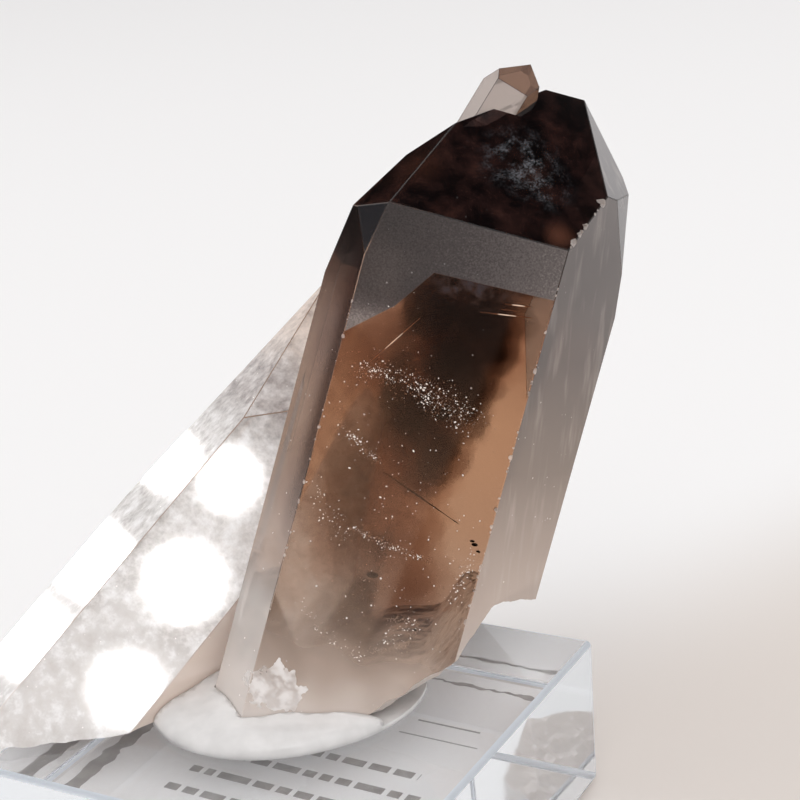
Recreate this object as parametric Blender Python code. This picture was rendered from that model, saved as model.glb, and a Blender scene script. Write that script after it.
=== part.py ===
"""Smoky quartz specimen on a clear square base.

Two quartz crystals grown together: a stout smoky one that leans back and a paler one that
lies against its left side. A tiny crystal sits on the tip. Mounting putty holds the broken
foot on a polished acrylic block with a card under it.

Each crystal is cut from a block by its own faces, at quartz's real face angles, in a frame
whose +Z is the crystal's long axis. The origin of the model is the middle of the underside.
"""
import math

import bmesh
import bpy
from mathutils import Matrix, Vector

MM = 0.001

# Angles of quartz faces from the long axis, in degrees.
PRISM = 90.0
RHOMB = 51.79
STEEP_RHOMB = 75.3
TRAPEZO = 81.95

# Base, card and putty.
BASE_SIDE = 40.0 * MM
BASE_TOP = 15.0 * MM
BASE_BEVEL = 0.5 * MM
CARD_SIDE = 38.6 * MM
CARD_THICK = 0.3 * MM
GAP = 0.3 * MM
PUTTY_CENTRE = (-1.9 * MM, 0.9 * MM)
PUTTY_RADIUS = 12.3 * MM
PUTTY_HEIGHT = 2.3 * MM
PUTTY_RINGS = 8
PUTTY_SIDES = 40

# The broken foot of the main crystal stops here, and the other one lies on the block.
MAIN_FOOT_Z = 16.0 * MM
SIDE_FOOT_Z = BASE_TOP + GAP

# A crystal's anchor is the point of its axis that its faces are measured from. Lean is the
# axis's angle from vertical, heading is the way that it leans, and spin turns it about itself.
MAIN = {"anchor": (10.7, 20.8, 53.8), "lean": 22.8, "heading": 61.2, "spin": -124.1}
SIDE = {"anchor": (-17.6, -4.4, 15.9), "lean": 54.2, "heading": 65.0, "spin": -131.6}
TIP_CRYSTAL = {"anchor": (12.1, 23.3, 64.2), "lean": 34.9, "heading": 30.0, "spin": -96.0}

# Distance of each prism face from the axis, in millimetres, anticlockwise from the front.
MAIN_PRISM = (10.5, 11.2, 16.5, 15.6, 8.2, 13.5)
SIDE_PRISM = (8.0, 8.5, 12.0, 8.6, 9.4, 8.3)
TIP_PRISM = (1.7, 1.9, 2.0, 2.1, 2.5, 2.4)

# Height above the anchor at which each end face would meet the axis, in the same order.
MAIN_POINT = (13.3, 19.5, 19.5, 13.2, 10.9, 16.1)
TIP_POINT = (4.2, 5.6, 4.6, 5.4, 4.4, 5.8)

BLOCK_REACH = 120.0 * MM


def face(azimuth, polar, distance):
    """One cutting plane: its outward normal, and its distance from the anchor in millimetres."""
    a = math.radians(azimuth)
    p = math.radians(polar)
    normal = Vector((math.sin(p) * math.cos(a), math.sin(p) * math.sin(a), math.cos(p)))
    return normal, distance * MM


def prism_faces(distances):
    return [face(60.0 * i, PRISM, d) for i, d in enumerate(distances)]


def point_faces(heights):
    """End faces of the quartz point, each given by where it would meet the long axis."""
    slope = math.cos(math.radians(RHOMB))
    return [face(60.0 * i, RHOMB, h * slope) for i, h in enumerate(heights)]


def crystal_frame(placing):
    """World matrix of a crystal's own frame."""
    anchor = Vector(placing["anchor"]) * MM
    heading = Matrix.Rotation(math.radians(placing["heading"]), 4, "Z")
    lean = Matrix.Rotation(math.radians(placing["lean"]), 4, "Y")
    spin = Matrix.Rotation(math.radians(placing["spin"]), 4, "Z")
    return Matrix.Translation(anchor) @ heading @ lean @ spin


def world_face(frame, normal, point):
    """A cutting plane given in the world, written in a crystal's own frame."""
    to_own = frame.inverted()
    own_normal = (to_own.to_3x3() @ Vector(normal)).normalized()
    own_point = to_own @ Vector(point)
    return own_normal, own_normal.dot(own_point)


def solid_from_faces(name, frame, faces, grow=0.0):
    """A block cut down by every face in turn, so what is left is one closed convex solid."""
    bm = bmesh.new()
    bmesh.ops.create_cube(bm, size=2.0 * BLOCK_REACH)
    for normal, distance in faces:
        everything = bm.verts[:] + bm.edges[:] + bm.faces[:]
        cut = bmesh.ops.bisect_plane(bm, geom=everything, dist=1e-7, clear_outer=True,
                                     plane_co=normal * (distance + grow), plane_no=normal)
        rim = [e for e in cut["geom_cut"] if isinstance(e, bmesh.types.BMEdge)]
        if rim:
            bmesh.ops.edgenet_fill(bm, edges=rim)
    bmesh.ops.remove_doubles(bm, verts=bm.verts[:], dist=1e-6)
    bmesh.ops.recalc_face_normals(bm, faces=bm.faces[:])
    bm.transform(frame)
    return object_from_bmesh(name, bm)


def object_from_bmesh(name, bm):
    mesh = bpy.data.meshes.new(name)
    bm.to_mesh(mesh)
    bm.free()
    obj = bpy.data.objects.new(name, mesh)
    bpy.context.scene.collection.objects.link(obj)
    return obj


def boolean(target, tool, operation):
    """Join or cut with a second solid, which stays behind as a hidden guide."""
    modifier = target.modifiers.new(operation.title() + " " + tool.name, "BOOLEAN")
    modifier.object = tool
    modifier.operation = operation
    modifier.solver = "EXACT"
    tool.hide_render = True
    tool.display_type = "WIRE"


def material(name, colour, roughness, transmission=0.0, ior=1.5):
    mat = bpy.data.materials.new(name)
    mat.use_nodes = True
    shader = mat.node_tree.nodes["Principled BSDF"]
    shader.inputs["Base Color"].default_value = (*colour, 1.0)
    shader.inputs["Roughness"].default_value = roughness
    shader.inputs["Metallic"].default_value = 0.0
    shader.inputs["Transmission Weight"].default_value = transmission
    shader.inputs["IOR"].default_value = ior
    return mat


def main_faces(frame):
    """The stout crystal, with a trapezohedral facet under every other shoulder."""
    faces = prism_faces(MAIN_PRISM) + point_faces(MAIN_POINT)
    for azimuth, distance in ((-51.05, 13.2), (68.95, 11.9), (188.95, 14.9)):
        faces.append(face(azimuth, TRAPEZO, distance))
    faces.append(face(120.0, STEEP_RHOMB, 11.0))
    faces.append(face(240.0, STEEP_RHOMB, 6.1))
    # The back right face grew against a neighbour and stands ten degrees off its true place.
    faces.append(face(110.0, PRISM, 13.39))
    faces.append(world_face(frame, (0.0, 0.0, -1.0), (0.0, 0.0, MAIN_FOOT_Z)))
    # A splinter has gone from the front right corner of the foot.
    faces.append(world_face(frame, (0.62, -0.16, -0.77), (12.7 * MM, 0.7 * MM, 18.9 * MM)))
    return faces


def right_break_faces(frame):
    """What broke away under the right of the main crystal: below a flat step, outside a wall."""
    step = face(0.0, 0.0, -31.6)
    wall = world_face(frame, (-0.66, -0.27, 0.70), (15.8 * MM, 8.5 * MM, 23.3 * MM))
    return [step, wall]


def side_faces(frame):
    """The paler crystal, with a lopsided point that ends behind the main one."""
    faces = prism_faces(SIDE_PRISM)
    faces.append(face(-16.6, 75.4, 15.2))
    faces.append(face(-105.0, 84.7, 11.4))
    for azimuth, distance in ((0.0, 30.6), (60.0, 26.0), (120.0, 23.8), (180.0, 28.3)):
        faces.append(face(azimuth, RHOMB, distance))
    faces.append(face(0.0, 180.0, 11.5))
    faces.append(world_face(frame, (0.0, 0.0, -1.0), (0.0, 0.0, SIDE_FOOT_Z)))
    return faces


def tip_faces():
    faces = prism_faces(TIP_PRISM) + point_faces(TIP_POINT)
    faces.append(face(0.0, 180.0, 4.0))
    return faces


def build_crystals():
    """One solid, since the crystals grew into each other."""
    main_frame = crystal_frame(MAIN)
    side_frame = crystal_frame(SIDE)
    crystals = solid_from_faces("quartz_crystals", main_frame, main_faces(main_frame))
    gone = solid_from_faces("broken_away", main_frame, right_break_faces(main_frame))
    side = solid_from_faces("side_crystal_form", side_frame, side_faces(side_frame))
    tip = solid_from_faces("tip_crystal_form", crystal_frame(TIP_CRYSTAL), tip_faces())
    boolean(crystals, gone, "DIFFERENCE")
    boolean(crystals, side, "UNION")
    boolean(crystals, tip, "UNION")
    crystals.data.materials.append(material("smoky_quartz", (0.16, 0.11, 0.09), 0.05, 0.9, 1.544))
    return main_frame, side_frame


def build_putty(main_frame, side_frame):
    """A soft dome pressed up round the foot, with the crystals' seats cut out of it."""
    bm = bmesh.new()
    bottom = BASE_TOP + GAP
    rings = []
    for i in range(PUTTY_RINGS):
        angle = 0.5 * math.pi * i / PUTTY_RINGS
        ring = []
        for j in range(PUTTY_SIDES):
            turn = 2.0 * math.pi * j / PUTTY_SIDES
            wobble = 1.0 + 0.03 * math.sin(2.0 * turn + 0.6) + 0.02 * math.sin(3.0 * turn)
            radius = PUTTY_RADIUS * wobble * math.cos(angle)
            height = bottom + PUTTY_HEIGHT * math.sin(angle)
            ring.append(bm.verts.new((PUTTY_CENTRE[0] + radius * math.cos(turn),
                                      PUTTY_CENTRE[1] + radius * math.sin(turn), height)))
        rings.append(ring)
    for lower, upper in zip(rings, rings[1:]):
        for j in range(PUTTY_SIDES):
            k = (j + 1) % PUTTY_SIDES
            bm.faces.new((lower[j], lower[k], upper[k], upper[j]))
    top = bm.verts.new((PUTTY_CENTRE[0], PUTTY_CENTRE[1], bottom + PUTTY_HEIGHT))
    for j in range(PUTTY_SIDES):
        bm.faces.new((rings[-1][j], rings[-1][(j + 1) % PUTTY_SIDES], top))
    bm.faces.new(list(reversed(rings[0])))
    bmesh.ops.recalc_face_normals(bm, faces=bm.faces[:])
    putty = object_from_bmesh("mounting_putty", bm)
    main_seat = solid_from_faces("main_seat", main_frame, main_faces(main_frame), GAP)
    side_seat = solid_from_faces("side_seat", side_frame, side_faces(side_frame), GAP)
    boolean(putty, main_seat, "DIFFERENCE")
    boolean(putty, side_seat, "DIFFERENCE")
    putty.data.materials.append(material("clear_putty", (0.82, 0.81, 0.80), 0.25, 0.4, 1.45))


def rounded_block(name, side, low, high, bevel):
    """A square block with its edges bevelled, from one height to another."""
    bm = bmesh.new()
    bmesh.ops.create_cube(bm, size=1.0)
    bmesh.ops.scale(bm, vec=(side, side, high - low), verts=bm.verts[:])
    bmesh.ops.translate(bm, vec=(0.0, 0.0, 0.5 * (low + high)), verts=bm.verts[:])
    if bevel > 0.0:
        bmesh.ops.bevel(bm, geom=bm.edges[:], offset=bevel, affect="EDGES", segments=1,
                        profile=0.5, material=-1)
    return object_from_bmesh(name, bm)


def build_base():
    base = rounded_block("acrylic_base", BASE_SIDE, CARD_THICK + GAP, BASE_TOP, BASE_BEVEL)
    base.data.materials.append(material("clear_acrylic", (0.90, 0.93, 0.97), 0.03, 0.95, 1.49))
    card = rounded_block("label_card", CARD_SIDE, 0.0, CARD_THICK, 0.0)
    card.data.materials.append(material("white_card", (0.80, 0.76, 0.72), 0.8))


def clear_scene():
    for obj in list(bpy.data.objects):
        bpy.data.objects.remove(obj, do_unlink=True)


clear_scene()
frames = build_crystals()
build_putty(*frames)
build_base()
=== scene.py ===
import math
import random

import bmesh
import bpy
from mathutils import Euler, Matrix, Vector, noise


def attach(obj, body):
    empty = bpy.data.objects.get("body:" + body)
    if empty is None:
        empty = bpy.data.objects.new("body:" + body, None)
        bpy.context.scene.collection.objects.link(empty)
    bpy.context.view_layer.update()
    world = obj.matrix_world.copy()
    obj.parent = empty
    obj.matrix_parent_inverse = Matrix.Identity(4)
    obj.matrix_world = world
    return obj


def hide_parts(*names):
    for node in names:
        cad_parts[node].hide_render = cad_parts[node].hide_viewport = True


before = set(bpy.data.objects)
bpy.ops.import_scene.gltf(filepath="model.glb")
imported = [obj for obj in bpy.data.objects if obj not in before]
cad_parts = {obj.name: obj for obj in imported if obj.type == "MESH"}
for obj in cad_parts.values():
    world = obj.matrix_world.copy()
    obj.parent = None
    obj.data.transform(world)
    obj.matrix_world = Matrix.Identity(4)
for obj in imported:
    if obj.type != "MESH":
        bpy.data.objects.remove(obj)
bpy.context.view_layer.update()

MM = 0.001

# The picture is taken from the front right and a little above, through a long lens.
# Its place and turn were fitted to the edges of the clear block and the crystal faces.
CAMERA_PLACE = Vector((77.01, -112.73, 87.70)) * MM
CAMERA_RIGHT = Vector((0.8778, 0.4737, -0.0710))
CAMERA_DOWN = Vector((0.0908, -0.3101, -0.9463))
CAMERA_AHEAD = Vector((-0.4703, 0.8243, -0.3153))
LENS_MM = 76.5
FILM_MM = 36.0
NEAREST_SEEN = 0.005
LIGHT_TURNS = 20

camera = bpy.data.objects.new("camera", bpy.data.cameras.new("camera"))
camera.data.lens = LENS_MM
camera.data.sensor_width = FILM_MM
camera.data.clip_start = NEAREST_SEEN
turn = Matrix((CAMERA_RIGHT, -CAMERA_DOWN, -CAMERA_AHEAD)).transposed()
camera.matrix_world = Matrix.Translation(CAMERA_PLACE) @ turn.to_4x4()
scene = bpy.context.scene
scene.collection.objects.link(camera)
scene.camera = camera
scene.view_settings.view_transform = "Standard"
# Light crosses a crystal many times before it comes out, so it is followed for longer.
scene.cycles.max_bounces = LIGHT_TURNS
scene.cycles.transmission_bounces = LIGHT_TURNS
scene.cycles.transparent_max_bounces = LIGHT_TURNS
# The card lies under clear acrylic, and light that reaches it must not be blurred on the way.
scene.cycles.blur_glossy = 0.0

# A white photographer's table. Bright paper stands all round it but for a few gaps to a dark
# room, which keep the dark faces free of glare. Round lamps show as white spots in the faces.
TABLE_REACH = 3.0
TABLE_DROP = 0.02 * MM
SHADE_TO_LIGHT = (-0.90, 0.44, 0.0)
SHADE_END, LIGHT_START = -0.012, 0.042
ROOM_LIGHT = 0.94
# Each gap has its direction, and the cosines of its rim and its core.
DARK_GAPS = (
    ((0.477, -0.871, 0.117), 0.93, 0.975),
    ((0.354, 0.049, 0.934), 0.95, 0.985),
    ((-0.704, 0.552, 0.445), 0.975, 0.993),
    ((-0.917, -0.119, 0.378), 0.975, 0.993),
    ((-0.985, 0.100, 0.140), 0.982, 0.996),
)
SOFTBOX_PLACE = Vector((700.0, -900.0, 1700.0)) * MM
SOFTBOX_SIDE = 1500.0 * MM
SOFTBOX_WATTS = 15.0
LAMP_SHINE = 30.0
# Each round lamp has its place and its radius, in millimetres.
LAMPS = (
    ((309.0, -379.0, 525.0), 16.0),
    ((306.0, -421.0, 489.0), 20.4),
    ((297.0, -465.0, 451.0), 18.2),
    ((-628.0, 322.0, 176.0), 15.2),
    ((-652.0, 273.0, 145.0), 19.2),
    ((-670.0, 237.0, 119.0), 19.2),
)


def linear(hex_colour):
    """An sRGB hex colour as the linear colour that a shader takes."""
    channels = [int(hex_colour[i:i + 2], 16) / 255.0 for i in (1, 3, 5)]
    bent = [c / 12.92 if c <= 0.04045 else ((c + 0.055) / 1.055) ** 2.4 for c in channels]
    return (*bent, 1.0)


def add(tree, kind, settings=None, links=None):
    """One shader node. Settings are its properties and plain inputs, and links are what feeds the
    others, where a number or a colour may stand in for a node."""
    node = tree.nodes.new(kind)
    for name, value in (settings or {}).items():
        if isinstance(name, str) and name not in node.inputs:
            setattr(node, name, value)
        else:
            node.inputs[name].default_value = value
    for name, source in (links or {}).items():
        if isinstance(source, (int, float, tuple)):
            node.inputs[name].default_value = source
            continue
        if isinstance(source, bpy.types.Node):
            source = next(o for o in source.outputs if o.enabled)
        tree.links.new(node.inputs[name], source)
    return node


def new_material(name):
    """A material with an empty node tree."""
    material = bpy.data.materials.new(name)
    material.use_nodes = True
    material.node_tree.nodes.clear()
    return material, material.node_tree


def object_from(bm, name, *materials):
    """A finished bmesh as an object at the origin."""
    mesh = bpy.data.meshes.new(name)
    bm.to_mesh(mesh)
    bm.free()
    for material in materials:
        mesh.materials.append(material)
    made = bpy.data.objects.new(name, mesh)
    scene.collection.objects.link(made)
    return made


# Uncoated background paper: fully matt. Its colour is painted warmer and darker towards the near right,
# as painted shade where the light falls off.
paper, tree = new_material("white_background_paper")
place = add(tree, "ShaderNodeTexCoord")
far = add(tree, "ShaderNodeVectorMath", {"operation": "DOT_PRODUCT", 1: SHADE_TO_LIGHT},
          {0: place.outputs["Object"]})
painted_shade_fade = add(tree, "ShaderNodeMapRange",
           {"interpolation_type": "SMOOTHERSTEP", 1: SHADE_END, 2: LIGHT_START},
           {0: far.outputs["Value"]})
shade = add(tree, "ShaderNodeMix", {"data_type": "RGBA", 6: linear("#dbd3cd"), 7: linear("#f2f1f1")},
            {0: painted_shade_fade})
surface = add(tree, "ShaderNodeBsdfPrincipled", {"Roughness": 0.95}, {"Base Color": shade})
add(tree, "ShaderNodeOutputMaterial", links={"Surface": surface})
bm = bmesh.new()
bmesh.ops.create_grid(bm, x_segments=8, y_segments=8, size=TABLE_REACH)
bmesh.ops.translate(bm, vec=(0.0, 0.0, -TABLE_DROP), verts=bm.verts[:])
table = object_from(bm, "table", paper)

world = bpy.data.worlds.new("paper_room")
scene.world = world
world.use_nodes = True
tree = world.node_tree
tree.nodes.clear()
place = add(tree, "ShaderNodeTexCoord")
room = add(tree, "ShaderNodeRGB").outputs[0]
room.default_value = linear("#fbfafa")
for gap, rim, core in DARK_GAPS:
    towards = add(tree, "ShaderNodeVectorMath", {"operation": "DOT_PRODUCT", 1: gap},
                  {0: place.outputs["Generated"]})
    dark = add(tree, "ShaderNodeMapRange", {"interpolation_type": "SMOOTHSTEP", 1: rim, 2: core},
               {0: towards.outputs["Value"]})
    mixed = add(tree, "ShaderNodeMix", {"data_type": "RGBA", 7: linear("#1e1b1a")}, {0: dark, 6: room})
    room = mixed.outputs[2]
ambient = add(tree, "ShaderNodeBackground", {"Strength": ROOM_LIGHT}, {"Color": room})
add(tree, "ShaderNodeOutputWorld", links={"Surface": ambient})


def lamp(name, shape, size, place, watts):
    """An area light that faces the specimen."""
    data = bpy.data.lights.new(name, "AREA")
    data.shape = shape
    data.size = size
    data.energy = watts
    made = bpy.data.objects.new(name, data)
    facing = (-place).to_track_quat("-Z", "Y").to_matrix().to_4x4()
    made.matrix_world = Matrix.Translation(place) @ facing
    scene.collection.objects.link(made)
    return made


softbox = lamp("softbox", "SQUARE", SOFTBOX_SIDE, SOFTBOX_PLACE, SOFTBOX_WATTS)
softbox.visible_glossy = False
for number, (spot, radius) in enumerate(LAMPS):
    watts = LAMP_SHINE * math.pi * math.pi * (radius * MM) ** 2
    round_lamp = lamp(f"round_lamp_{number}", "DISK", 2.0 * radius * MM, Vector(spot) * MM, watts)
    round_lamp.visible_diffuse = False
    round_lamp.visible_transmission = False

# The crystals are smoky quartz that grew together. Each is cut from a block by its own faces, at
# quartz's face angles, then broken at the foot, joined to the other and chipped along its edges.
RHOMB = 51.79
STEEP_RHOMB = 75.3
TRAPEZO = 81.95
MAIN = {"anchor": (10.7, 20.8, 53.8), "lean": 22.8, "heading": 61.2, "spin": -124.1}
SIDE = {"anchor": (-17.6, -4.4, 15.9), "lean": 54.2, "heading": 65.0, "spin": -131.6}
TIP_CRYSTAL = {"anchor": (12.1, 23.3, 64.2), "lean": 34.9, "heading": 30.0, "spin": -96.0}
MAIN_PRISM = (10.5, 11.2, 16.5, 15.6, 8.2, 13.5)
SIDE_PRISM = (8.0, 8.5, 12.0, 8.6, 9.4, 8.3)
TIP_PRISM = (1.7, 1.9, 2.0, 2.1, 2.5, 2.4)
MAIN_POINT = (13.3, 19.5, 19.5, 13.2, 10.9, 16.1)
TIP_POINT = (4.2, 5.6, 4.6, 5.4, 4.4, 5.8)
MAIN_CORNERS = ((-51.05, 13.2), (68.95, 11.9), (188.95, 14.9))
MAIN_STEEP = ((120.0, 11.0), (240.0, 6.1))
MAIN_CROWDED = (110.0, 13.39)
SIDE_CORNERS = ((-16.6, 75.4, 15.2), (-105.0, 84.7, 11.4))
SIDE_POINT = ((0.0, 30.6), (60.0, 26.0), (120.0, 23.8), (180.0, 28.3))
SIDE_END = 11.5
TIP_END = 4.0
BLOCK_TOP = 15.0
MAIN_BREAK_TOP = 16.0
SIDE_BREAK_TOP = 15.35
LOST_STEP_TOP = 31.6
MAIN_GRAIN, SIDE_GRAIN = 0.45 * MM, 0.5 * MM
EDGE_WEAR = 0.07 * MM
TIP_WEAR = 0.03 * MM


def face(azimuth, polar, distance):
    """One crystal face: its outward normal, and its distance from the anchor."""
    a = math.radians(azimuth)
    p = math.radians(polar)
    normal = Vector((math.sin(p) * math.cos(a), math.sin(p) * math.sin(a), math.cos(p)))
    return normal, distance * MM


def prism_faces(distances):
    return [face(60.0 * i, 90.0, d) for i, d in enumerate(distances)]


def point_faces(heights):
    slope = math.cos(math.radians(RHOMB))
    return [face(60.0 * i, RHOMB, h * slope) for i, h in enumerate(heights)]


def crystal_frame(placing):
    """A crystal's own axes: +Z is its long axis."""
    anchor = Vector(placing["anchor"]) * MM
    heading = Matrix.Rotation(math.radians(placing["heading"]), 4, "Z")
    lean = Matrix.Rotation(math.radians(placing["lean"]), 4, "Y")
    spin = Matrix.Rotation(math.radians(placing["spin"]), 4, "Z")
    return Matrix.Translation(anchor) @ heading @ lean @ spin


def level_face(own_frame, normal, point):
    """A plane given over the table, as a face in a crystal's own axes."""
    to_own = own_frame.inverted()
    own_normal = (to_own.to_3x3() @ Vector(normal)).normalized()
    return own_normal, own_normal.dot(to_own @ (Vector(point) * MM))


def flat_bottom(own_frame, height):
    """The level underside of a crystal, at a height over the table."""
    return level_face(own_frame, (0.0, 0.0, -1.0), (0.0, 0.0, height))


def cut_crystal(own_frame, faces, wear=0.0, reach=0.12, grow=0.0):
    """A block cut by every face in turn, with its edges a little worn."""
    bm = bmesh.new()
    bmesh.ops.create_cube(bm, size=2.0 * reach)
    for normal, distance in faces:
        everything = bm.verts[:] + bm.edges[:] + bm.faces[:]
        cut = bmesh.ops.bisect_plane(bm, geom=everything, dist=1e-7, clear_outer=True,
                                     plane_co=normal * (distance + grow), plane_no=normal)
        rim = [e for e in cut["geom_cut"] if isinstance(e, bmesh.types.BMEdge)]
        if rim:
            bmesh.ops.edgenet_fill(bm, edges=rim)
    bmesh.ops.remove_doubles(bm, verts=bm.verts[:], dist=1e-6)
    bmesh.ops.recalc_face_normals(bm, faces=bm.faces[:])
    if wear:
        bmesh.ops.bevel(bm, geom=bm.edges[:], offset=wear, affect="EDGES", segments=2,
                        profile=0.5, material=-1)
    bm.transform(own_frame)
    return bm


def baked_in(target):
    """Makes the object's modifiers part of its mesh."""
    graph = bpy.context.evaluated_depsgraph_get()
    mesh = bpy.data.meshes.new_from_object(target.evaluated_get(graph))
    target.modifiers.clear()
    target.data = mesh


def combine(target, tool, operation, crossing=False):
    """Joins or cuts with a second solid, and takes that one away."""
    step = target.modifiers.new(operation, "BOOLEAN")
    step.object = tool
    step.operation = operation
    step.solver = "EXACT"
    step.use_self = crossing
    baked_in(target)
    bpy.data.objects.remove(tool)


def remeshed(bm, name, grain):
    """The bmesh as an even mesh of small squares, which noise can then roughen."""
    lump = object_from(bm, name)
    step = lump.modifiers.new("even squares", "REMESH")
    step.mode = "VOXEL"
    step.voxel_size = grain
    baked_in(lump)
    even = bmesh.new()
    even.from_mesh(lump.data)
    bpy.data.objects.remove(lump)
    return even


def roughen(bm, swing, bowls, seed):
    """Pushes a break's surface out in shallow bowls with sharp rims, as glass breaks."""
    bm.normal_update()
    shift = Vector((seed * 7.3, seed * 3.1, seed * 5.7))
    for v in bm.verts:
        spot = v.co / (bowls * MM) + shift
        nearest = noise.voronoi(spot)[0][0]
        fine = noise.fractal(spot * 2.7, 0.8, 2.0, 4)
        v.co += v.normal * (swing * MM * (0.75 - nearest + 0.22 * fine))


def box_faces(low, high):
    """The six sides of an upright box over the table."""
    sides = []
    for axis in range(3):
        out = Vector([float(i == axis) for i in range(3)])
        sides.append((out, high[axis] * MM))
        sides.append((-out, -low[axis] * MM))
    return sides


main_frame = crystal_frame(MAIN)
side_frame = crystal_frame(SIDE)
tip_frame = crystal_frame(TIP_CRYSTAL)
flat = Matrix.Identity(4)
main_sides = prism_faces(MAIN_PRISM) + point_faces(MAIN_POINT)
main_sides += [face(a, TRAPEZO, d) for a, d in MAIN_CORNERS]
main_sides += [face(a, STEEP_RHOMB, d) for a, d in MAIN_STEEP]
# The back right face grew against a neighbour and stands ten degrees off its true place.
main_sides.append(face(MAIN_CROWDED[0], 90.0, MAIN_CROWDED[1]))
side_sides = prism_faces(SIDE_PRISM) + [face(a, p, d) for a, p, d in SIDE_CORNERS]
side_sides += [face(a, RHOMB, d) for a, d in SIDE_POINT]
side_sides.append(face(0.0, 180.0, SIDE_END))
tip_faces = prism_faces(TIP_PRISM) + point_faces(TIP_POINT) + [face(0.0, 180.0, TIP_END)]
main_faces = main_sides + [flat_bottom(main_frame, BLOCK_TOP + 0.2)]
side_faces = side_sides + [flat_bottom(side_frame, BLOCK_TOP + 0.1)]

# What broke away: the whole foot, a splinter at its front right, and a step at its right.
foot = box_faces((-12, -13, 12), (30, 34, MAIN_BREAK_TOP))
splinter = box_faces((-12, -13, 13), (30, 34, 34))
splinter.append(level_face(flat, (-0.62, 0.16, 0.77), (12.7, 0.7, 18.9)))
step_normal, step_distance = face(0.0, 0.0, -LOST_STEP_TOP)
step_normal_up = main_frame.to_3x3() @ step_normal
lost_step = box_faces((-12, -13, 13), (34, 38, 44))
lost_step.append((step_normal_up, step_normal_up.dot(main_frame @ (step_normal * step_distance))))
lost_step.append(level_face(flat, (-0.66, -0.27, 0.70), (15.8, 8.5, 23.3)))
main_break = cut_crystal(flat, foot)
for solid in (splinter, lost_step):
    extra = bpy.data.meshes.new("extra")
    cut_crystal(flat, solid).to_mesh(extra)
    main_break.from_mesh(extra)
    bpy.data.meshes.remove(extra)
main_break = remeshed(main_break, "main_break", MAIN_GRAIN)
roughen(main_break, 0.55, 3.4, 1)
side_break = cut_crystal(flat, box_faces((-40, -26, 12), (4, 14, SIDE_BREAK_TOP)))
side_break = remeshed(side_break, "side_break", SIDE_GRAIN)
roughen(side_break, 0.5, 3.0, 2)


def on_edge(first, second, z):
    """The point of the edge between two of the main crystal's faces, at a height along it."""
    (n, d), (m, e) = first, second
    rows = Matrix((n, m, Vector((0.0, 0.0, 1.0))))
    return main_frame @ (rows.inverted() @ Vector((d, e, z * MM)))


# Small chips along the sharp edges, thickest low down and under the point. Each run has its two
# faces, its two heights, and the number and size of its chips.
FRONT_FACE, RIGHT_FACE, LEFT_FACE, POINT_FACE = 0, 1, 5, 6
CHIP_RUNS = (
    (FRONT_FACE, RIGHT_FACE, -33.0, -8.0, 24, 0.26),
    (FRONT_FACE, RIGHT_FACE, -20.0, -18.0, 9, 0.34),
    (FRONT_FACE, RIGHT_FACE, -8.0, -0.5, 8, 0.18),
    (POINT_FACE, RIGHT_FACE, 0.2, 5.0, 22, 0.40),
    (FRONT_FACE, LEFT_FACE, -37.0, -8.0, 22, 0.2),
)
random.seed(11)
chips = bmesh.new()
for first, second, low, high, count, size in CHIP_RUNS:
    for _ in range(count):
        spot = on_edge(main_sides[first], main_sides[second], random.uniform(low, high))
        radius = size * MM * random.uniform(0.35, 1.0) ** 2
        stretch = Matrix.Diagonal((random.uniform(0.6, 1.5), random.uniform(0.6, 1.5), 1.0, 1.0))
        lie = Euler([random.uniform(0.0, 6.3) for _ in range(3)]).to_matrix().to_4x4()
        chip = bmesh.ops.create_icosphere(chips, subdivisions=1, radius=radius,
                                          matrix=Matrix.Translation(spot) @ lie @ stretch)
        for v in chip["verts"]:
            v.co += Vector([random.uniform(-0.35, 0.35) * radius for _ in range(3)])

grown_skin = bpy.data.materials.new("grown_skin")
fresh_break = bpy.data.materials.new("fresh_break")


def breaking_tool(bm, name):
    """A cutter whose cut surface can be told from a grown face afterwards."""
    tool = object_from(bm, name, grown_skin, fresh_break)
    tool.data.polygons.foreach_set("material_index", [1] * len(tool.data.polygons))
    return tool


crystals = object_from(cut_crystal(main_frame, main_faces, EDGE_WEAR), "quartz_pair",
                       grown_skin, fresh_break)
combine(crystals, breaking_tool(main_break, "main_break"), "DIFFERENCE")
side_crystal = object_from(cut_crystal(side_frame, side_faces, EDGE_WEAR), "side",
                           grown_skin, fresh_break)
combine(side_crystal, breaking_tool(side_break, "side_break"), "DIFFERENCE")
combine(crystals, side_crystal, "UNION")
tip_crystal = object_from(cut_crystal(tip_frame, tip_faces, TIP_WEAR), "tip",
                          grown_skin, fresh_break)
combine(crystals, tip_crystal, "UNION")
combine(crystals, breaking_tool(chips, "chips"), "DIFFERENCE", crossing=True)

# Each kind of face has a number, so that the material can treat it on its own. The tables say how
# far a kind scatters light instead of letting it through, and how matt it is.
BROKEN, FRONT, RIGHT, LEFT, FRONT_POINT, SHOULDER, OTHER = 0.0, 1.0, 2.0, 3.0, 4.0, 5.0, 6.0
SIDE_FRONT, SIDE_OTHER, SIDE_LOWER, TIP_LIT, TIP_SHADED, ETCHED = 7.0, 8.0, 9.0, 10.0, 11.0, 12.0
FACE_HAZE = {BROKEN: 0.5, RIGHT: 0.78, LEFT: 0.45, FRONT_POINT: 0.4, SHOULDER: 0.6,
             TIP_LIT: 0.45, TIP_SHADED: 0.45}
FACE_MATT = {BROKEN: 0.28, RIGHT: 0.22, SIDE_OTHER: 0.07, ETCHED: 0.7}
SIDE_CLOUDS = {SIDE_FRONT: 1.0, SIDE_OTHER: 1.0, SIDE_LOWER: 0.5}
GROWN_SHINE = 0.05
TIP_SHADED_SIDE = Vector((0.8778, 0.4737, -0.0710))
face_kinds = {}


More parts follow.
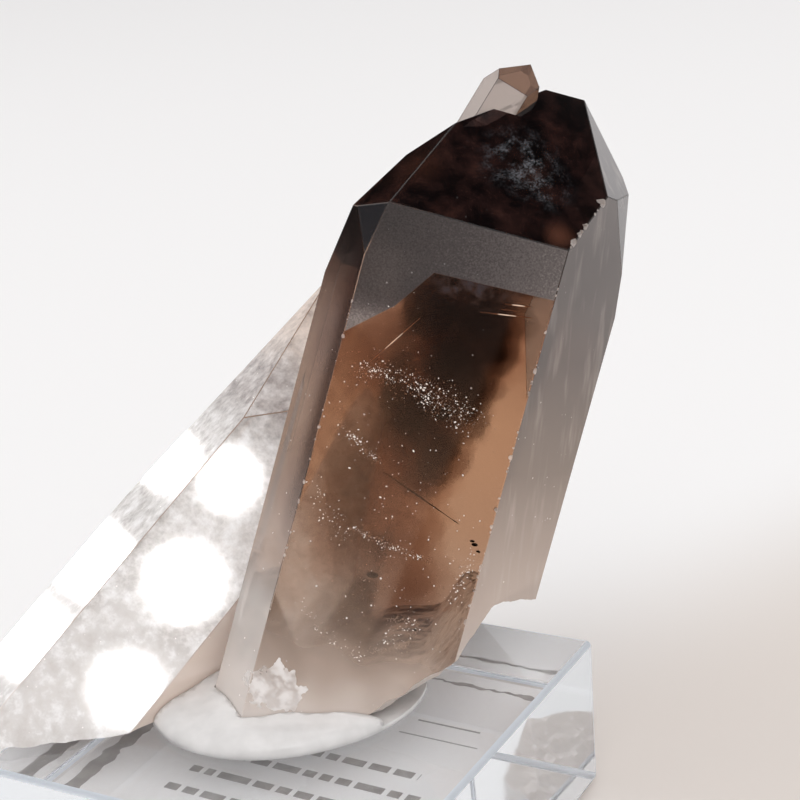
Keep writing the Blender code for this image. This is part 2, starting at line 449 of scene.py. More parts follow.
def name_faces(own_frame, faces, kinds):
    """Finds the polygons that lie in each crystal face."""
    turn = own_frame.to_3x3()
    planes = [(turn @ n, (turn @ n).dot(own_frame @ (n * d)), k) for (n, d), k in zip(faces, kinds)]
    for i, polygon in enumerate(crystals.data.polygons):
        for normal, distance, kind in planes:
            level = abs(normal.dot(polygon.center) - distance) < 0.02 * MM
            if level and polygon.normal.dot(normal) > 0.9999:
                face_kinds[i] = kind


def mark_faces(name, values):
    """Gives each polygon of the crystals a number that the material can read."""
    marks = crystals.data.attributes.new(name, "FLOAT", "FACE")
    for mark, value in zip(marks.data, values):
        mark.value = value


name_faces(main_frame, main_faces,
           [FRONT, RIGHT, OTHER, OTHER, OTHER, LEFT, FRONT_POINT, RIGHT] + [OTHER] * 3
           + [FRONT_POINT, SHOULDER, RIGHT, OTHER, ETCHED] + [OTHER] * 3)
name_faces(side_frame, side_faces, [SIDE_FRONT, SIDE_LOWER] + [SIDE_OTHER] * 12)
name_faces(tip_frame, tip_faces, [TIP_LIT] * 13)
kinds = []
for i, polygon in enumerate(crystals.data.polygons):
    kind = BROKEN if polygon.material_index == 1 else face_kinds.get(i, OTHER)
    # Tip faces that turn to the right get a darker brown, as painted shade on that side; the others keep
    # the lighter colour.
    if kind == TIP_LIT and polygon.normal.dot(TIP_SHADED_SIDE) > 0.25:
        kind = TIP_SHADED
    kinds.append(kind)
    polygon.material_index = 0
mark_faces("crystal_face", kinds)
mark_faces("face_haze", [FACE_HAZE.get(kind, 0.0) for kind in kinds])
mark_faces("face_matt", [FACE_MATT.get(kind, GROWN_SHINE) for kind in kinds])
mark_faces("side_clouds", [SIDE_CLOUDS.get(kind, 0.0) for kind in kinds])

# Natural quartz: glassy where it grew, frosted or milky in places, and brown from radiation. Light
# goes into it and comes back tinted, and what is behind a face shows bent through it.
MAIN_AXIS = (0.1863, 0.339, 0.9221)
FRONT_RIGHTWARD = (0.8593, 0.3987, -0.3203)
FRONT_OUTWARD = (0.476, -0.852, 0.217)
SIDE_AXIS = (0.343, 0.735, 0.585)
QUARTZ_IOR = 1.544
smoky_quartz, tree = new_material("smoky_quartz_crystal")
place = add(tree, "ShaderNodeTexCoord")
spot = add(tree, "ShaderNodeVectorMath", {"operation": "SCALE", "Scale": 1.0 / MM},
           {0: place.outputs["Object"]})
face_mark = add(tree, "ShaderNodeAttribute", {"attribute_name": "crystal_face"}).outputs["Fac"]


def far_along(direction):
    """How far a spot lies in a direction over the table, in millimetres."""
    return add(tree, "ShaderNodeVectorMath", {"operation": "DOT_PRODUCT", 1: direction},
               {0: spot}).outputs["Value"]


def away_from(centre):
    """How far a spot is from a point over the table, in millimetres."""
    return add(tree, "ShaderNodeVectorMath", {"operation": "DISTANCE", 1: centre},
               {0: spot}).outputs["Value"]


def product(*shares):
    """Several shares multiplied, so that each can hold the others back."""
    result = shares[0]
    for share in shares[1:]:
        result = add(tree, "ShaderNodeMath", {"operation": "MULTIPLY"}, {0: result, 1: share})
    return result


def strongest(*shares):
    """The greatest of several shares at each spot."""
    result = shares[0]
    for share in shares[1:]:
        result = add(tree, "ShaderNodeMath", {"operation": "MAXIMUM"}, {0: result, 1: share})
    return result


def plus(base, share, times=1.0):
    """A base with so many times the share added."""
    return add(tree, "ShaderNodeMath", {"operation": "MULTIPLY_ADD"}, {0: share, 1: times, 2: base})


def on_face(kind, spread=0.5):
    """1 on faces of this kind, or of kinds whose numbers are no further off than the spread."""
    return add(tree, "ShaderNodeMath", {"operation": "COMPARE"}, {0: face_mark, 1: kind, 2: spread})


def between(source, low, high, soft="SMOOTHSTEP"):
    """0 below low, 1 above high."""
    return add(tree, "ShaderNodeMapRange", {"interpolation_type": soft, 1: low, 2: high}, {0: source})


def near(centre, radius, soft):
    """1 inside a ball over the table, with a soft rim. All in millimetres."""
    return between(away_from(centre), radius + soft, radius - soft)


def blotches(size_mm, detail=3.0, roughness=0.55, stretch=(1.0, 1.0, 1.0)):
    """Cloudy noise whose lumps are about this many millimetres across."""
    source = add(tree, "ShaderNodeVectorMath", {"operation": "MULTIPLY", 1: stretch}, {0: spot})
    return add(tree, "ShaderNodeTexNoise",
               {"Scale": 1.0 / size_mm, "Detail": detail, "Roughness": roughness},
               {"Vector": source})


def specks(spacing_mm, size_mm):
    """Round dots, one to a cell and of uneven size, as a mask."""
    cell = add(tree, "ShaderNodeTexVoronoi", {"Scale": 1.0 / spacing_mm}, {"Vector": spot})
    luck = add(tree, "ShaderNodeSeparateColor", links={0: cell.outputs["Color"]}).outputs[0]
    rare = add(tree, "ShaderNodeMath", {"operation": "POWER"}, {0: luck, 1: 5.0})
    return add(tree, "ShaderNodeMath", {"operation": "LESS_THAN"},
               {0: cell.outputs["Distance"], 1: product(rare, size_mm / spacing_mm)})


def stained_along(source, *stops):
    """A run of colours, each at its place from 0 to 1."""
    node = add(tree, "ShaderNodeValToRGB", links={0: source})
    colours = node.color_ramp
    for i, (at, colour) in enumerate(stops):
        stop = colours.elements[i] if i < 2 else colours.elements.new(at)
        stop.position = at
        stop.color = linear(colour)
    return node


def tinted(share, under, over):
    """One colour turning to another with the share. Either may be a hex colour."""
    under = linear(under) if isinstance(under, str) else under
    over = linear(over) if isinstance(over, str) else over
    return add(tree, "ShaderNodeMix", {"data_type": "RGBA"}, {0: share, 6: under, 7: over})


along = far_along(MAIN_AXIS)
across = far_along(FRONT_RIGHTWARD)
depth = far_along(FRONT_OUTWARD)
side_along = far_along(SIDE_AXIS)
is_front = on_face(FRONT)
is_point = on_face(FRONT_POINT)
on_side = on_face(SIDE_OTHER, 1.5)
cloud = blotches(6.0, 1.0)
mid_cloud = blotches(2.4, 3.0, 0.6)
fine_cloud = blotches(1.3, 3.0, 0.65)
grit = blotches(0.16, 1.0, 0.7)
streaks = blotches(1.6, 2.0, 0.6, (1.0, 1.0, 0.14))
dust = specks(0.6, 0.09)
wandering = plus(plus(-3.5, cloud, 7.0), along)
body = stained_along(between(wandering, 12.0, 68.0, "LINEAR"),
                     (0.0, "#f8f0eb"), (0.1, "#decdc1"), (0.2, "#bfa38e"), (0.36, "#ba9072"),
                     (0.52, "#bd8f6e"), (0.68, "#9c6d51"), (0.8, "#6d4b3c"), (1.0, "#2a2223"))

# The band of the front face above this broken line is frosted, and the stone below it is clear.
low_line = plus(55.41, across, 0.887)
mid_line = plus(58.51, across, 1.434)
top_line = plus(53.99, across, 0.034)
frost_edge = add(tree, "ShaderNodeMath", {"operation": "MINIMUM"},
                 {0: top_line, 1: strongest(low_line, mid_line)})
above = between(plus(along, frost_edge, -1.0), -0.06, 0.08)
frosted = product(above, is_front)
frost_shade = plus(product(across, 0.04), between(along, 51.2, 48.2), 0.8)
frost_colour = stained_along(plus(frost_shade, grit, 0.9), (0.0, "#2b2423"), (0.4, "#463e3d"),
                             (0.75, "#6a6260"), (1.0, "#8f8783"))

# Right of this line the front face shows a clear bright strip. Left of it the stone is hazier, and
# blotched with darker brown.
strip_line = plus(plus(3.56, across), along, -0.155)
off_strip = product(between(strip_line, 0.6, -0.8), is_front)
mottled = product(between(fine_cloud, 0.44, 0.66), between(along, 22.0, 32.0), off_strip, 0.4)
leftward = plus(0.03, between(across, -1.0, -8.0), 0.13)
veil = plus(leftward, between(wandering, 50.0, 26.0), 0.13)
veiled = product(off_strip, veil, plus(0.2, fine_cloud, 1.6))
blue_veil = product(between(along, 51.2, 53.2), between(across, 5.0, 1.5),
                    between(fine_cloud, 0.35, 0.7), is_front, plus(1.0, above, -1.0))

# The point is nearly black, with a bluish haze, a brown glow at two spots and reddish clouds.
patches = strongest(near((15.6, 18.8, 60.4), 2.3, 2.2), product(near((17.8, 18.2, 58.2), 1.6, 1.8), 0.6))
haze = product(between(fine_cloud, 0.42, 0.66), between(grit, 0.40, 0.62), patches, is_point)
glow = strongest(near((20.5, 15.2, 54.9), 0.9, 0.9), product(near((8.4, 12.9, 61.4), 1.6, 2.0), 0.45))
point_colour = stained_along(mid_cloud, (0.0, "#0b0809"), (0.42, "#150f10"), (0.6, "#33211f"),
                             (0.9, "#5a3a32"))
point_colour = tinted(haze, tinted(glow, point_colour, "#6d4537"), "#a3a6ae")

# The right and left faces are pale at the foot and darken upwards. The right one has fine growth
# streaks, and the left one is darkest beside the front face.
right_colour = stained_along(between(along, 18.0, 72.0, "LINEAR"),
                             (0.0, "#efe6df"), (0.16, "#cdbdb3"), (0.39, "#83776f"),
                             (0.58, "#5f5857"), (0.76, "#676263"), (1.0, "#918d8e"))
right_colour = tinted(product(between(streaks, 0.5, 0.75), 0.2), right_colour, "#e4dad3")
left_colour = stained_along(between(wandering, 22.0, 56.0, "LINEAR"),
                            (0.0, "#f8f1ec"), (0.15, "#c3b2a7"), (0.4, "#a8968b"),
                            (0.7, "#a3928a"), (0.86, "#5b4d49"), (0.94, "#2f2827"))
near_front = product(between(depth, 7.3, 9.2), between(along, 26.0, 38.0), 0.75)
left_colour = tinted(near_front, left_colour, "#3b302f")

# The side crystal is nearly colourless, with a cloudy smoky stretch next to the main crystal.
side_pale = stained_along(fine_cloud, (0.3, "#e4dfdc"), (0.5, "#f4f1ef"), (0.7, "#fdfcfc"))
side_smoky = stained_along(fine_cloud, (0.3, "#8f8584"), (0.5, "#bdb2ae"), (0.7, "#ded7d4"))
smoky_end = product(between(side_along, 24.0, 28.5), between(side_along, 38.0, 31.0), 0.85)
side_colour = tinted(smoky_end, side_pale, side_smoky)
side_colour = tinted(between(side_along, 31.0, 37.0), side_colour, "#f0dfd3")
# The lower face is painted pale peach, as painted light shining through the crystal from behind.
side_colour = tinted(on_face(SIDE_LOWER), side_colour, "#ffeee2")

# White: a torn bruise at the foot, and mineral dust that gets sparser upwards.
torn = plus(away_from((1.3, -5.4, 19.2)), mid_cloud, 5.0)
bruise = product(between(torn, 4.75, 4.6), plus(0.45, between(fine_cloud, 0.3, 0.6), 0.45))
white_rough = strongest(bruise, product(dust, between(along, 70.0, 20.0)))

colour = tinted(frosted, tinted(mottled, body, "#6b3f2a"), frost_colour)
for share, over in (
    (is_point, point_colour), (on_face(RIGHT), right_colour), (on_face(LEFT), left_colour),
    (on_face(SHOULDER), "#353437"), (on_face(ETCHED), "#fff4ea"), (on_side, side_colour),
    # The tip crystal's lighter faces, and its darker brown side of painted shade.
    (on_face(TIP_LIT), "#c9bcb5"), (on_face(TIP_SHADED), "#7d563f"),
    (product(on_face(BROKEN), 0.75), "#eee6e1"), (product(blue_veil, 0.8), "#5c5c66"),
    (white_rough, "#f2eeec"),
):
    colour = tinted(share, colour, over)

# How much each place scatters light instead of letting it through, and how matt it is.
face_haze = add(tree, "ShaderNodeAttribute", {"attribute_name": "face_haze"}).outputs["Fac"]
face_matt = add(tree, "ShaderNodeAttribute", {"attribute_name": "face_matt"}).outputs["Fac"]
side_clouds = add(tree, "ShaderNodeAttribute", {"attribute_name": "side_clouds"}).outputs["Fac"]
milky = product(between(wandering, 26.0, 15.0), 0.66)
side_haze = product(side_clouds, between(fine_cloud, -0.2, 1.0))
hazy = strongest(face_haze, product(frosted, 0.75), veiled, product(blue_veil, 0.35), side_haze,
                 milky, white_rough)
milky_matt = product(milky, 0.4, plus(1.0, on_side, -1.0))
matt = strongest(face_matt, product(frosted, 0.4), product(off_strip, 0.2), milky_matt,
                 product(white_rough, 0.6))
quartz = add(tree, "ShaderNodeBsdfPrincipled", {"IOR": QUARTZ_IOR},
             {"Base Color": colour, "Roughness": matt, "Transmission Weight": plus(1.0, hazy, -1.0)})
body_tint = add(tree, "ShaderNodeVolumeAbsorption", {"Color": linear("#d8b9a0"), "Density": 4.0})
add(tree, "ShaderNodeOutputMaterial", links={"Surface": quartz, "Volume": body_tint})


def part_of_the_specimen(piece, node=None):
    """Fixes a piece to the specimen and, where it stands for a plain solid, hides that one."""
    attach(piece, "root")
    if node:
        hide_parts(node)


crystals.data.materials.clear()
crystals.data.materials.append(smoky_quartz)
part_of_the_specimen(crystals, "quartz_crystals")

# The smoke is quartz that natural radiation has darkened. It hangs in the main crystal in uneven
# clouds, nearly black under the point and golden brown lower down, and has no skin of its own.
SKIN_OF_CLEAR_QUARTZ = 0.25 * MM
SMOKE_BOTTOM = 17.6
SMOKE_GRAIN = 0.5 * MM
SMOKE_RIPPLE = 3.5 * MM
# Each lump has its middle and its three half widths, in the main crystal's own millimetres.
DARK_SMOKE = ((5.0, -2.4, -7.4, 3.6, 3.0, 2.4), (4.0, 1.8, -8.0, 4.0, 3.2, 2.8),
              (4.0, 0.6, -12.0, 4.0, 3.0, 3.6), (4.0, 1.9, -14.2, 3.6, 2.3, 3.6),
              (3.5, -1.6, -17.2, 3.4, 2.6, 3.0), (3.5, 0.9, -19.6, 3.0, 1.9, 3.6),
              (4.0, 3.1, -10.0, 3.4, 1.8, 2.8))
BROWN_SMOKE = ((3.0, -5.4, -13.0, 5.0, 4.0, 5.0), (2.0, -1.6, -20.0, 6.0, 4.2, 7.0),
               (3.0, -4.6, -26.0, 5.0, 3.6, 6.0), (3.0, -1.2, -28.0, 4.5, 4.2, 5.5),
               (3.0, 1.2, -32.0, 4.0, 3.6, 4.0), (3.0, -1.0, -10.0, 6.0, 5.6, 5.0))
POINT_SMOKE = ((-2.0, 0.0, 2.0, 13.0, 12.0, 8.0), (-4.0, -2.0, 7.0, 9.0, 9.0, 8.0),
               (2.0, 4.0, 4.0, 9.0, 8.0, 7.0))
# The same lumps at three sizes, one in the other, give a cloud a soft edge.
SHELLS = (0.72, 1.0, 1.28)
DARK_STAIN, BROWN_STAIN, POINT_STAIN = (0.12, 0.05, 0.02), (0.45, 0.22, 0.10), (0.15, 0.05, 0.0)


def smoke_cloud(name, lumps, swell, colour, density, swing, seed):
    """A closed lump of darker stone, kept just inside the crystal's faces."""
    bm = bmesh.new()
    for x, y, z, rx, ry, rz in lumps:
        shape = Matrix.Translation((x, y, z)) @ Matrix.Diagonal((rx * swell, ry * swell, rz * swell, 1.0))
        bmesh.ops.create_icosphere(bm, subdivisions=3, radius=1.0, matrix=shape)
    bmesh.ops.scale(bm, vec=(MM, MM, MM), verts=bm.verts[:])
    bm = remeshed(bm, name, SMOKE_GRAIN)
    bm.normal_update()
    limits = main_sides + [flat_bottom(main_frame, SMOKE_BOTTOM)]
    for v in bm.verts:
        ripple = noise.fractal(v.co / SMOKE_RIPPLE + Vector((seed, seed, seed)), 0.9, 2.0, 4)
        v.co += v.normal * (swing * MM * ripple)
        for normal, distance in limits:
            over = normal.dot(v.co) - (distance - SKIN_OF_CLEAR_QUARTZ)
            if over > 0.0:
                v.co -= normal * over
    bm.transform(main_frame)
    # Quartz stained by radiation: it only swallows light, so it shows as depth of colour.
    stain, tree = new_material(name + "_in_quartz")
    absorb = add(tree, "ShaderNodeVolumeAbsorption", {"Color": (*colour, 1.0), "Density": density})
    add(tree, "ShaderNodeOutputMaterial", links={"Volume": absorb})
    for f in bm.faces:
        f.smooth = True
    part_of_the_specimen(object_from(bm, name, stain))


for layer, swell in enumerate(SHELLS):
    smoke_cloud(f"dark_smoke_{layer}", DARK_SMOKE, swell, DARK_STAIN, 190.0, 1.7, 3.0 + layer)
    smoke_cloud(f"brown_smoke_{layer}", BROWN_SMOKE, swell, BROWN_STAIN, 80.0, 1.5, 5.0 + layer)
smoke_cloud("point_smoke", POINT_SMOKE, 1.0, POINT_STAIN, 150.0, 0.8, 8.0)

# Mineral needles and scales that the quartz grew round: pale and black needles, black scales and
# white healed cracks. Each is a thin solid inside the stone.
# The pale needles lie just under the front face, in the crystal's own millimetres, with their
# radius. The black ones, the scales and the deep cracks are placed over the table.
PALE_NEEDLES = (
    ((10.46, -6.73, -13.36), (10.46, -3.64, -8.71), 0.06),
    ((10.44, 1.08, -6.92), (10.46, 5.41, -6.28), 0.075),
    ((10.44, 2.92, -5.73), (10.46, 5.09, -5.41), 0.085),
    ((10.45, 2.7, -6.25), (10.45, 4.3, -6.0), 0.05),
)
BLACK_NEEDLES = (
    ((7.98, 4.59, 36.21), (13.2, 6.40, 31.88), 0.085),
    ((13.2, 6.40, 31.88), (13.79, 6.61, 31.39), 0.05),
)
BLACK_SCALES = (
    ((7.6, 1.9, 27.7), 0.62), ((15.5, 6.0, 29.9), 0.34), ((15.3, 6.0, 30.2), 0.24),
    ((15.8, 6.0, 29.3), 0.22), ((11.26, 2.11, 22.97), 0.16), ((8.81, 2.41, 29.49), 0.12),
)
# Each deep crack has its path, its number of flakes and how far they stray.
HEALED_CRACKS = (
    (((5.92, 5.46, 45.06), (8.94, 6.83, 43.83), (11.82, 8.03, 42.19), (14.3, 8.88, 40.09)), 420, 0.75),
    (((4.83, 3.24, 40.57), (6.38, 3.65, 38.79), (7.78, 4.05, 37.27)), 150, 0.22),
    (((5.55, 1.79, 31.91), (8.06, 2.87, 30.62), (10.13, 3.72, 29.45), (11.89, 4.48, 28.55)), 200, 0.12),
    (((8.72, 2.03, 23.62), (9.62, 2.56, 23.71), (10.99, 3.19, 23.18), (10.61, 2.62, 21.76),
      (9.36, 1.73, 21.01), (7.32, 0.61, 21.09)), 260, 0.16),
    (((3.0, 0.0, 33.0), (6.0, 0.8, 26.0), (9.0, 1.5, 20.0)), 260, 2.2),
)
# The cracks that reach the front face, in the crystal's own millimetres right of its axis and
# down from its shoulder, with their number of flakes and half width.
FACE_CRACKS = (
    ((-7.3, -14.0), (-4.8, -13.9), 110, 0.35),
    ((-4.8, -13.9), (-2.1, -14.1), 120, 0.45),
    ((-2.1, -14.1), (-0.4, -15.0), 130, 0.6),
    ((-0.4, -15.0), (2.9, -15.9), 210, 0.75),
    ((-7.8, -19.3), (-3.8, -21.3), 130, 0.25),
    ((-4.4, -27.3), (-1.6, -28.1), 70, 0.18),
    ((-1.6, -28.1), (1.8, -28.4), 80, 0.15),
    ((-7.2, -34.7), (-4.4, -36.9), 60, 0.3),
    ((-4.4, -36.9), (-0.4, -38.1), 60, 0.3),
    ((5.9, -27.0), (5.4, -31.5), 110, 0.4),
    ((-8.6, -25.0), (-4.5, -28.5), 110, 0.5),
    ((0.4, -36.3), (2.9, -33.9), 100, 0.45),
    ((-6.0, -12.0), (3.0, -34.0), 260, 3.2),
)
FLAKE_DEPTH = 0.004
DEEP_FLAKE_SKIN, FACE_FLAKE_SKIN = 0.3 * MM, 0.15 * MM
LOWEST_FLAKE = 17.5
MINERAL_GRAIN = 0.25 * MM


def tapered_rod(bm, start, end, radius):
    """A needle with six sides that thins to its ends."""
    run = (Vector(end) - Vector(start)) * MM
    centre = (Vector(end) + Vector(start)) * 0.5 * MM
    turn = run.to_track_quat("Z", "Y").to_matrix().to_4x4()
    for half in (-1.0, 1.0):
        at = Matrix.Translation(centre + run * 0.25 * half) @ turn
        low, high = (radius * 0.4, radius) if half < 0.0 else (radius, radius * 0.25)
        bmesh.ops.create_cone(bm, cap_ends=True, segments=6, radius1=low * MM, radius2=high * MM,
                              depth=run.length * 0.5, matrix=at)


def inclusion_material(name, hex_colour, dull_side, matt):
    """An opaque mineral, with grains that make its colour and polish a little uneven."""
    material, tree = new_material(name)
    place = add(tree, "ShaderNodeTexCoord")
    grain = add(tree, "ShaderNodeTexNoise", {"Scale": 1.0 / MINERAL_GRAIN, "Detail": 2.0},
                {"Vector": place.outputs["Object"]})
    dull = add(tree, "ShaderNodeMapRange", {3: matt - 0.1, 4: matt + 0.1}, {0: grain})
    shade = add(tree, "ShaderNodeMix",
                {"data_type": "RGBA", 6: linear(hex_colour), 7: linear(dull_side)}, {0: grain})
    surface = add(tree, "ShaderNodeBsdfPrincipled", links={"Base Color": shade, "Roughness": dull})
    add(tree, "ShaderNodeOutputMaterial", links={"Surface": surface})
    return material


random.seed(23)
# The pale needles are silky, the black minerals dark and half shiny, and a healed crack is full of
# tiny bubbles that scatter light, so it looks white.
pale_mineral = inclusion_material("pale_needle_mineral", "#f3dcc8", "#d3ad90", 0.35)
black_mineral = inclusion_material("black_mineral", "#16110f", "#241b17", 0.3)
crack_white = inclusion_material("healed_crack_white", "#f6f1ec", "#e3d9d0", 0.5)
bm = bmesh.new()
for start, end, radius in PALE_NEEDLES:
    tapered_rod(bm, start, end, radius)
bm.transform(main_frame)
part_of_the_specimen(object_from(bm, "pale_needles", pale_mineral))
bm = bmesh.new()
for start, end, radius in BLACK_NEEDLES:
    tapered_rod(bm, start, end, radius)
for centre, radius in BLACK_SCALES:
    tilt = main_frame.to_3x3().to_4x4() @ Matrix.Rotation(random.uniform(-0.6, 0.6), 4, "Z")
    flat_form = tilt @ Matrix.Diagonal((0.25, 1.0, 0.45, 1.0))
    bmesh.ops.create_icosphere(bm, subdivisions=2, radius=radius * MM,
                               matrix=Matrix.Translation(Vector(centre) * MM) @ flat_form)
part_of_the_specimen(object_from(bm, "black_needles_and_scales", black_mineral))
bm = bmesh.new()
for path, count, spread in HEALED_CRACKS:
    for _ in range(count):
        leg = random.randrange(len(path) - 1)
        spot = Vector(path[leg]).lerp(Vector(path[leg + 1]), random.random())
        spot += Vector([random.gauss(0.0, spread) for _ in range(3)])
        own = main_frame.inverted() @ (spot * MM)
        lie = Euler([random.uniform(0.0, 6.3) for _ in range(3)]).to_matrix().to_4x4()
        size = MM * random.uniform(0.02, 0.09)
        scale = Matrix.Diagonal((1.0, random.uniform(0.4, 1.0), 0.2, 1.0))
        if any(n.dot(own) > d - DEEP_FLAKE_SKIN for n, d in main_sides) or spot.z < LOWEST_FLAKE:
            continue
        bmesh.ops.create_icosphere(bm, subdivisions=1, radius=size,
                                   matrix=Matrix.Translation(spot * MM) @ lie @ scale)
for start, end, count, half_width in FACE_CRACKS:
    for _ in range(count):
        share = random.random()
        y = start[0] + (end[0] - start[0]) * share + random.gauss(0.0, half_width)
        z = start[1] + (end[1] - start[1]) * share + random.gauss(0.0, half_width)
        own = Vector((MAIN_PRISM[0] - FLAKE_DEPTH, y, z)) * MM
        size = MM * (0.02 + 0.07 * random.random() ** 3)
        lie = Matrix.Rotation(random.uniform(0.0, 6.3), 4, "X")
        scale = Matrix.Diagonal((0.25, random.uniform(0.5, 1.6), random.uniform(0.4, 1.0), 1.0))
        if any(n.dot(own) > d - FACE_FLAKE_SKIN for n, d in main_sides[1:]):
            continue
        bmesh.ops.create_icosphere(bm, subdivisions=1, radius=size,
                                   matrix=main_frame @ Matrix.Translation(own) @ lie @ scale)
part_of_the_specimen(object_from(bm, "healed_cracks", crack_white))

# The putty is a clear, sticky blob pressed on to the block by hand, with the broken foot of both
# crystals pushed down into it.
PUTTY_CENTRE = Vector((-1.9, 0.9, 15.03)) * MM
PUTTY_RADIUS = 12.2
PUTTY_HEIGHT = 2.5
PUTTY_EDGE = 0.6
MAIN_SEAT, SIDE_SEAT = 15.6, 15.2
SEAT_CLEARANCE = 0.12 * MM
SMEAR_SIZE = 2.86 * MM
PUTTY_IOR = 1.45

bm = bmesh.new()
bmesh.ops.create_icosphere(bm, subdivisions=5, radius=1.0)
bmesh.ops.bisect_plane(bm, geom=bm.verts[:] + bm.edges[:] + bm.faces[:], dist=1e-6, clear_inner=True,
                       plane_co=(0.0, 0.0, 0.0), plane_no=(0.0, 0.0, 1.0))
bmesh.ops.edgenet_fill(bm, edges=[e for e in bm.edges if e.is_boundary])
for v in bm.verts:
    around = math.atan2(v.co.y, v.co.x)
    wobble = 1.0 + 0.03 * math.sin(2.0 * around + 0.6) + 0.02 * math.sin(3.0 * around)
    finger = 0.12 * noise.noise(Vector((v.co.x, v.co.y, 0.0)) * 3.5)
    height = PUTTY_HEIGHT * max(v.co.z, 0.0) ** PUTTY_EDGE * (1.0 + finger)
    reach = wobble * PUTTY_RADIUS
    v.co = Vector((v.co.x * reach, v.co.y * reach, height)) * MM
for f in bm.faces:
    f.smooth = True
bmesh.ops.translate(bm, vec=PUTTY_CENTRE, verts=bm.verts[:])
bmesh.ops.recalc_face_normals(bm, faces=bm.faces[:])
putty = object_from(bm, "putty_blob")
main_seat = main_sides + [flat_bottom(main_frame, MAIN_SEAT)]
side_seat = side_sides + [flat_bottom(side_frame, SIDE_SEAT)]
combine(putty, object_from(cut_crystal(main_frame, main_seat, grow=SEAT_CLEARANCE), "seat"), "DIFFERENCE")
combine(putty, object_from(cut_crystal(side_frame, side_seat, grow=SEAT_CLEARANCE), "seat"), "DIFFERENCE")

# Clear mineral putty: soft and half see-through, with a wet skin that fingers have smeared.
clear_putty, tree = new_material("clear_sticky_putty")
place = add(tree, "ShaderNodeTexCoord")
smears = add(tree, "ShaderNodeTexNoise", {"Scale": 1.0 / SMEAR_SIZE, "Detail": 3.0},
             {"Vector": place.outputs["Object"]})
wet = add(tree, "ShaderNodeMapRange", {3: 0.05, 4: 0.2}, {0: smears})
through = add(tree, "ShaderNodeMapRange", {3: 0.2, 4: 0.5}, {0: smears})
surface = add(tree, "ShaderNodeBsdfPrincipled", {"Base Color": linear("#fdfbfa"), "IOR": PUTTY_IOR},
              {"Roughness": wet, "Transmission Weight": through})
add(tree, "ShaderNodeOutputMaterial", links={"Surface": surface})
putty.data.materials.clear()
putty.data.materials.append(clear_putty)
part_of_the_specimen(putty, "mounting_putty")

# The base is a square block of clear cast acrylic, sawn, polished on every side and with its
# sharp edges broken.
BLOCK_SIDE = 40.0
BLOCK_FOOT = 0.36
BLOCK_EDGE = 0.45 * MM
WIPE_SIZE = 8.33 * MM
ACRYLIC_IOR = 1.49

bm = bmesh.new()
bmesh.ops.create_cube(bm, size=1.0)
bmesh.ops.scale(bm, vec=Vector((BLOCK_SIDE, BLOCK_SIDE, BLOCK_TOP - BLOCK_FOOT)) * MM,
                verts=bm.verts[:])
bmesh.ops.translate(bm, vec=(0.0, 0.0, 0.5 * (BLOCK_TOP + BLOCK_FOOT) * MM), verts=bm.verts[:])
bmesh.ops.bevel(bm, geom=bm.edges[:], offset=BLOCK_EDGE, affect="EDGES", segments=4, profile=0.5,
                material=-1)
bm.normal_update()
sanded = bm.faces.layers.float.new("sanded_edge")
for f in bm.faces:
    f[sanded] = float(max(abs(c) for c in f.normal) < 0.999)
# Cast acrylic: polished clear sides with faint wiping marks, and edges that were only sanded, so
# they show as pale bluish lines.
clear_acrylic, tree = new_material("polished_clear_acrylic")
place = add(tree, "ShaderNodeTexCoord")
handling = add(tree, "ShaderNodeTexNoise", {"Scale": 1.0 / WIPE_SIZE, "Detail": 6.0},
               {"Vector": place.outputs["Object"]})
wiped = add(tree, "ShaderNodeMapRange", {1: 0.45, 2: 0.8, 3: 0.01, 4: 0.08}, {0: handling})
edge = add(tree, "ShaderNodeAttribute", {"attribute_name": "sanded_edge"}).outputs["Fac"]
shade = add(tree, "ShaderNodeMix",
            {"data_type": "RGBA", 6: linear("#fdfeff"), 7: linear("#eaf1fa")}, {0: edge})
dull = add(tree, "ShaderNodeMapRange", {4: 0.5}, {0: edge, 3: wiped})
solid = add(tree, "ShaderNodeMapRange", {3: 1.0, 4: 0.45}, {0: edge})
surface = add(tree, "ShaderNodeBsdfPrincipled", {"IOR": ACRYLIC_IOR},
              {"Base Color": shade, "Roughness": dull, "Transmission Weight": solid})
absorb = add(tree, "ShaderNodeVolumeAbsorption", {"Color": linear("#d3e6f7"), "Density": 3.0})
add(tree, "ShaderNodeOutputMaterial", links={"Surface": surface, "Volume": absorb})
block = object_from(bm, "clear_block", clear_acrylic)
part_of_the_specimen(block, "acrylic_base")

# The card under the block is a square of matt white board. Its print is a ragged dark frame, fine
# rules and rows of plain bars, in thin ink that stands just over the board.
CARD_SIDE = 38.6
CARD_THICK = 0.3
INK_TOP = 0.33
CARD_EDGE = 0.06 * MM
FIBRE_SIZE = 0.4 * MM
INK_MOTTLE = 1.43 * MM
INK_GAP = 0.005
WORD_GAP = 0.55
FRAME_AT = 17.4
# Each printed side of the frame has its quarter turn and its width. Each rule and each row of bars
# has its two ends, its place up the card and its height.
FRAME_SIDES = ((0, 0.5), (1, 1.5), (2, 0.5))
RULES = ((5.7, 13.7, 7.5, 0.18), (6.4, 12.8, 10.0, 0.3))
TEXT_ROWS = ((-7.5, 12.6, -1.8, 1.5), (-1.5, 11.0, 1.4, 1.5), (-9.0, 8.0, -5.0, 1.5),
             (-9.5, 6.0, -8.2, 1.5))

bm = bmesh.new()
bmesh.ops.create_cube(bm, size=1.0)
bmesh.ops.scale(bm, vec=Vector((CARD_SIDE, CARD_SIDE, CARD_THICK)) * MM, verts=bm.verts[:])
bmesh.ops.translate(bm, vec=(0.0, 0.0, 0.5 * CARD_THICK * MM), verts=bm.verts[:])
bmesh.ops.bevel(bm, geom=bm.edges[:], offset=CARD_EDGE, affect="EDGES", segments=2, profile=0.5,
                material=-1)
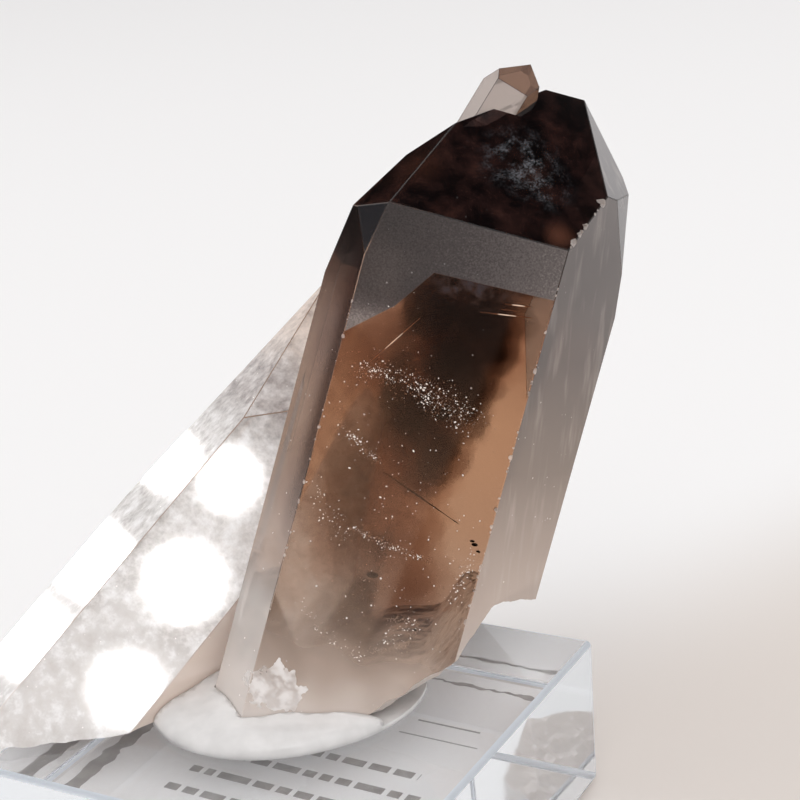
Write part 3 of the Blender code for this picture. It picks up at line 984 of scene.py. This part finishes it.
# White card: matt and fibrous, with no shine of its own.
white_card, tree = new_material("matt_white_board")
place = add(tree, "ShaderNodeTexCoord")
fibres = add(tree, "ShaderNodeTexNoise", {"Scale": 1.0 / FIBRE_SIZE, "Detail": 3.0},
             {"Vector": place.outputs["Object"]})
shade = add(tree, "ShaderNodeMix",
            {"data_type": "RGBA", 6: linear("#f9f5f2"), 7: linear("#fdfbfa")}, {0: fibres})
surface = add(tree, "ShaderNodeBsdfPrincipled", {"Roughness": 0.85}, {"Base Color": shade})
add(tree, "ShaderNodeOutputMaterial", links={"Surface": surface})
card = object_from(bm, "printed_card", white_card)
part_of_the_specimen(card, "label_card")

random.seed(31)
bm = bmesh.new()
for side, wide in FRAME_SIDES:
    turn = Matrix.Rotation(0.5 * math.pi * side, 4, "Z")
    strip = bmesh.ops.create_grid(bm, x_segments=90, y_segments=3, size=0.5)["verts"]
    for v in strip:
        x = v.co.x * 2.0 * (FRAME_AT + 0.3)
        ragged = noise.fractal(Vector((x * 0.7, side * 7.0, v.co.y * wide)), 0.8, 2.0, 4)
        y = FRAME_AT + v.co.y * wide + 0.45 * ragged
        v.co = turn @ (Vector((x, min(y, 0.5 * CARD_SIDE - 0.3), INK_TOP)) * MM)
for x0, x1, y, high in TEXT_ROWS + RULES:
    x = x0
    while x < x1:
        solid = high < 0.5
        length = min(x1 - x, (x1 - x0) if solid else random.uniform(0.8, 3.4))
        at = Matrix.Translation(Vector((x + 0.5 * length, y, INK_TOP)) * MM)
        size = Matrix.Diagonal((length * MM, high * 0.62 * MM, 1.0, 1.0))
        bmesh.ops.create_grid(bm, x_segments=1, y_segments=1, size=0.5, matrix=at @ size)
        x += length + WORD_GAP
thick = bmesh.ops.extrude_face_region(bm, geom=bm.faces[:])
lowered = [v for v in thick["geom"] if isinstance(v, bmesh.types.BMVert)]
bmesh.ops.translate(bm, vec=(0.0, 0.0, (CARD_THICK + INK_GAP - INK_TOP) * MM), verts=lowered)
bmesh.ops.recalc_face_normals(bm, faces=bm.faces[:])
# Printing ink: thin, half matt and unevenly laid, so the board's white shows through its grey.
grey_ink, tree = new_material("dark_grey_printing_ink")
place = add(tree, "ShaderNodeTexCoord")
mottle = add(tree, "ShaderNodeTexNoise", {"Scale": 1.0 / INK_MOTTLE, "Detail": 4.0},
             {"Vector": place.outputs["Object"]})
shade = add(tree, "ShaderNodeMix",
            {"data_type": "RGBA", 6: linear("#837e7b"), 7: linear("#c6c0bc")}, {0: mottle})
surface = add(tree, "ShaderNodeBsdfPrincipled", {"Roughness": 0.7}, {"Base Color": shade})
add(tree, "ShaderNodeOutputMaterial", links={"Surface": surface})
part_of_the_specimen(object_from(bm, "card_print", grey_ink))
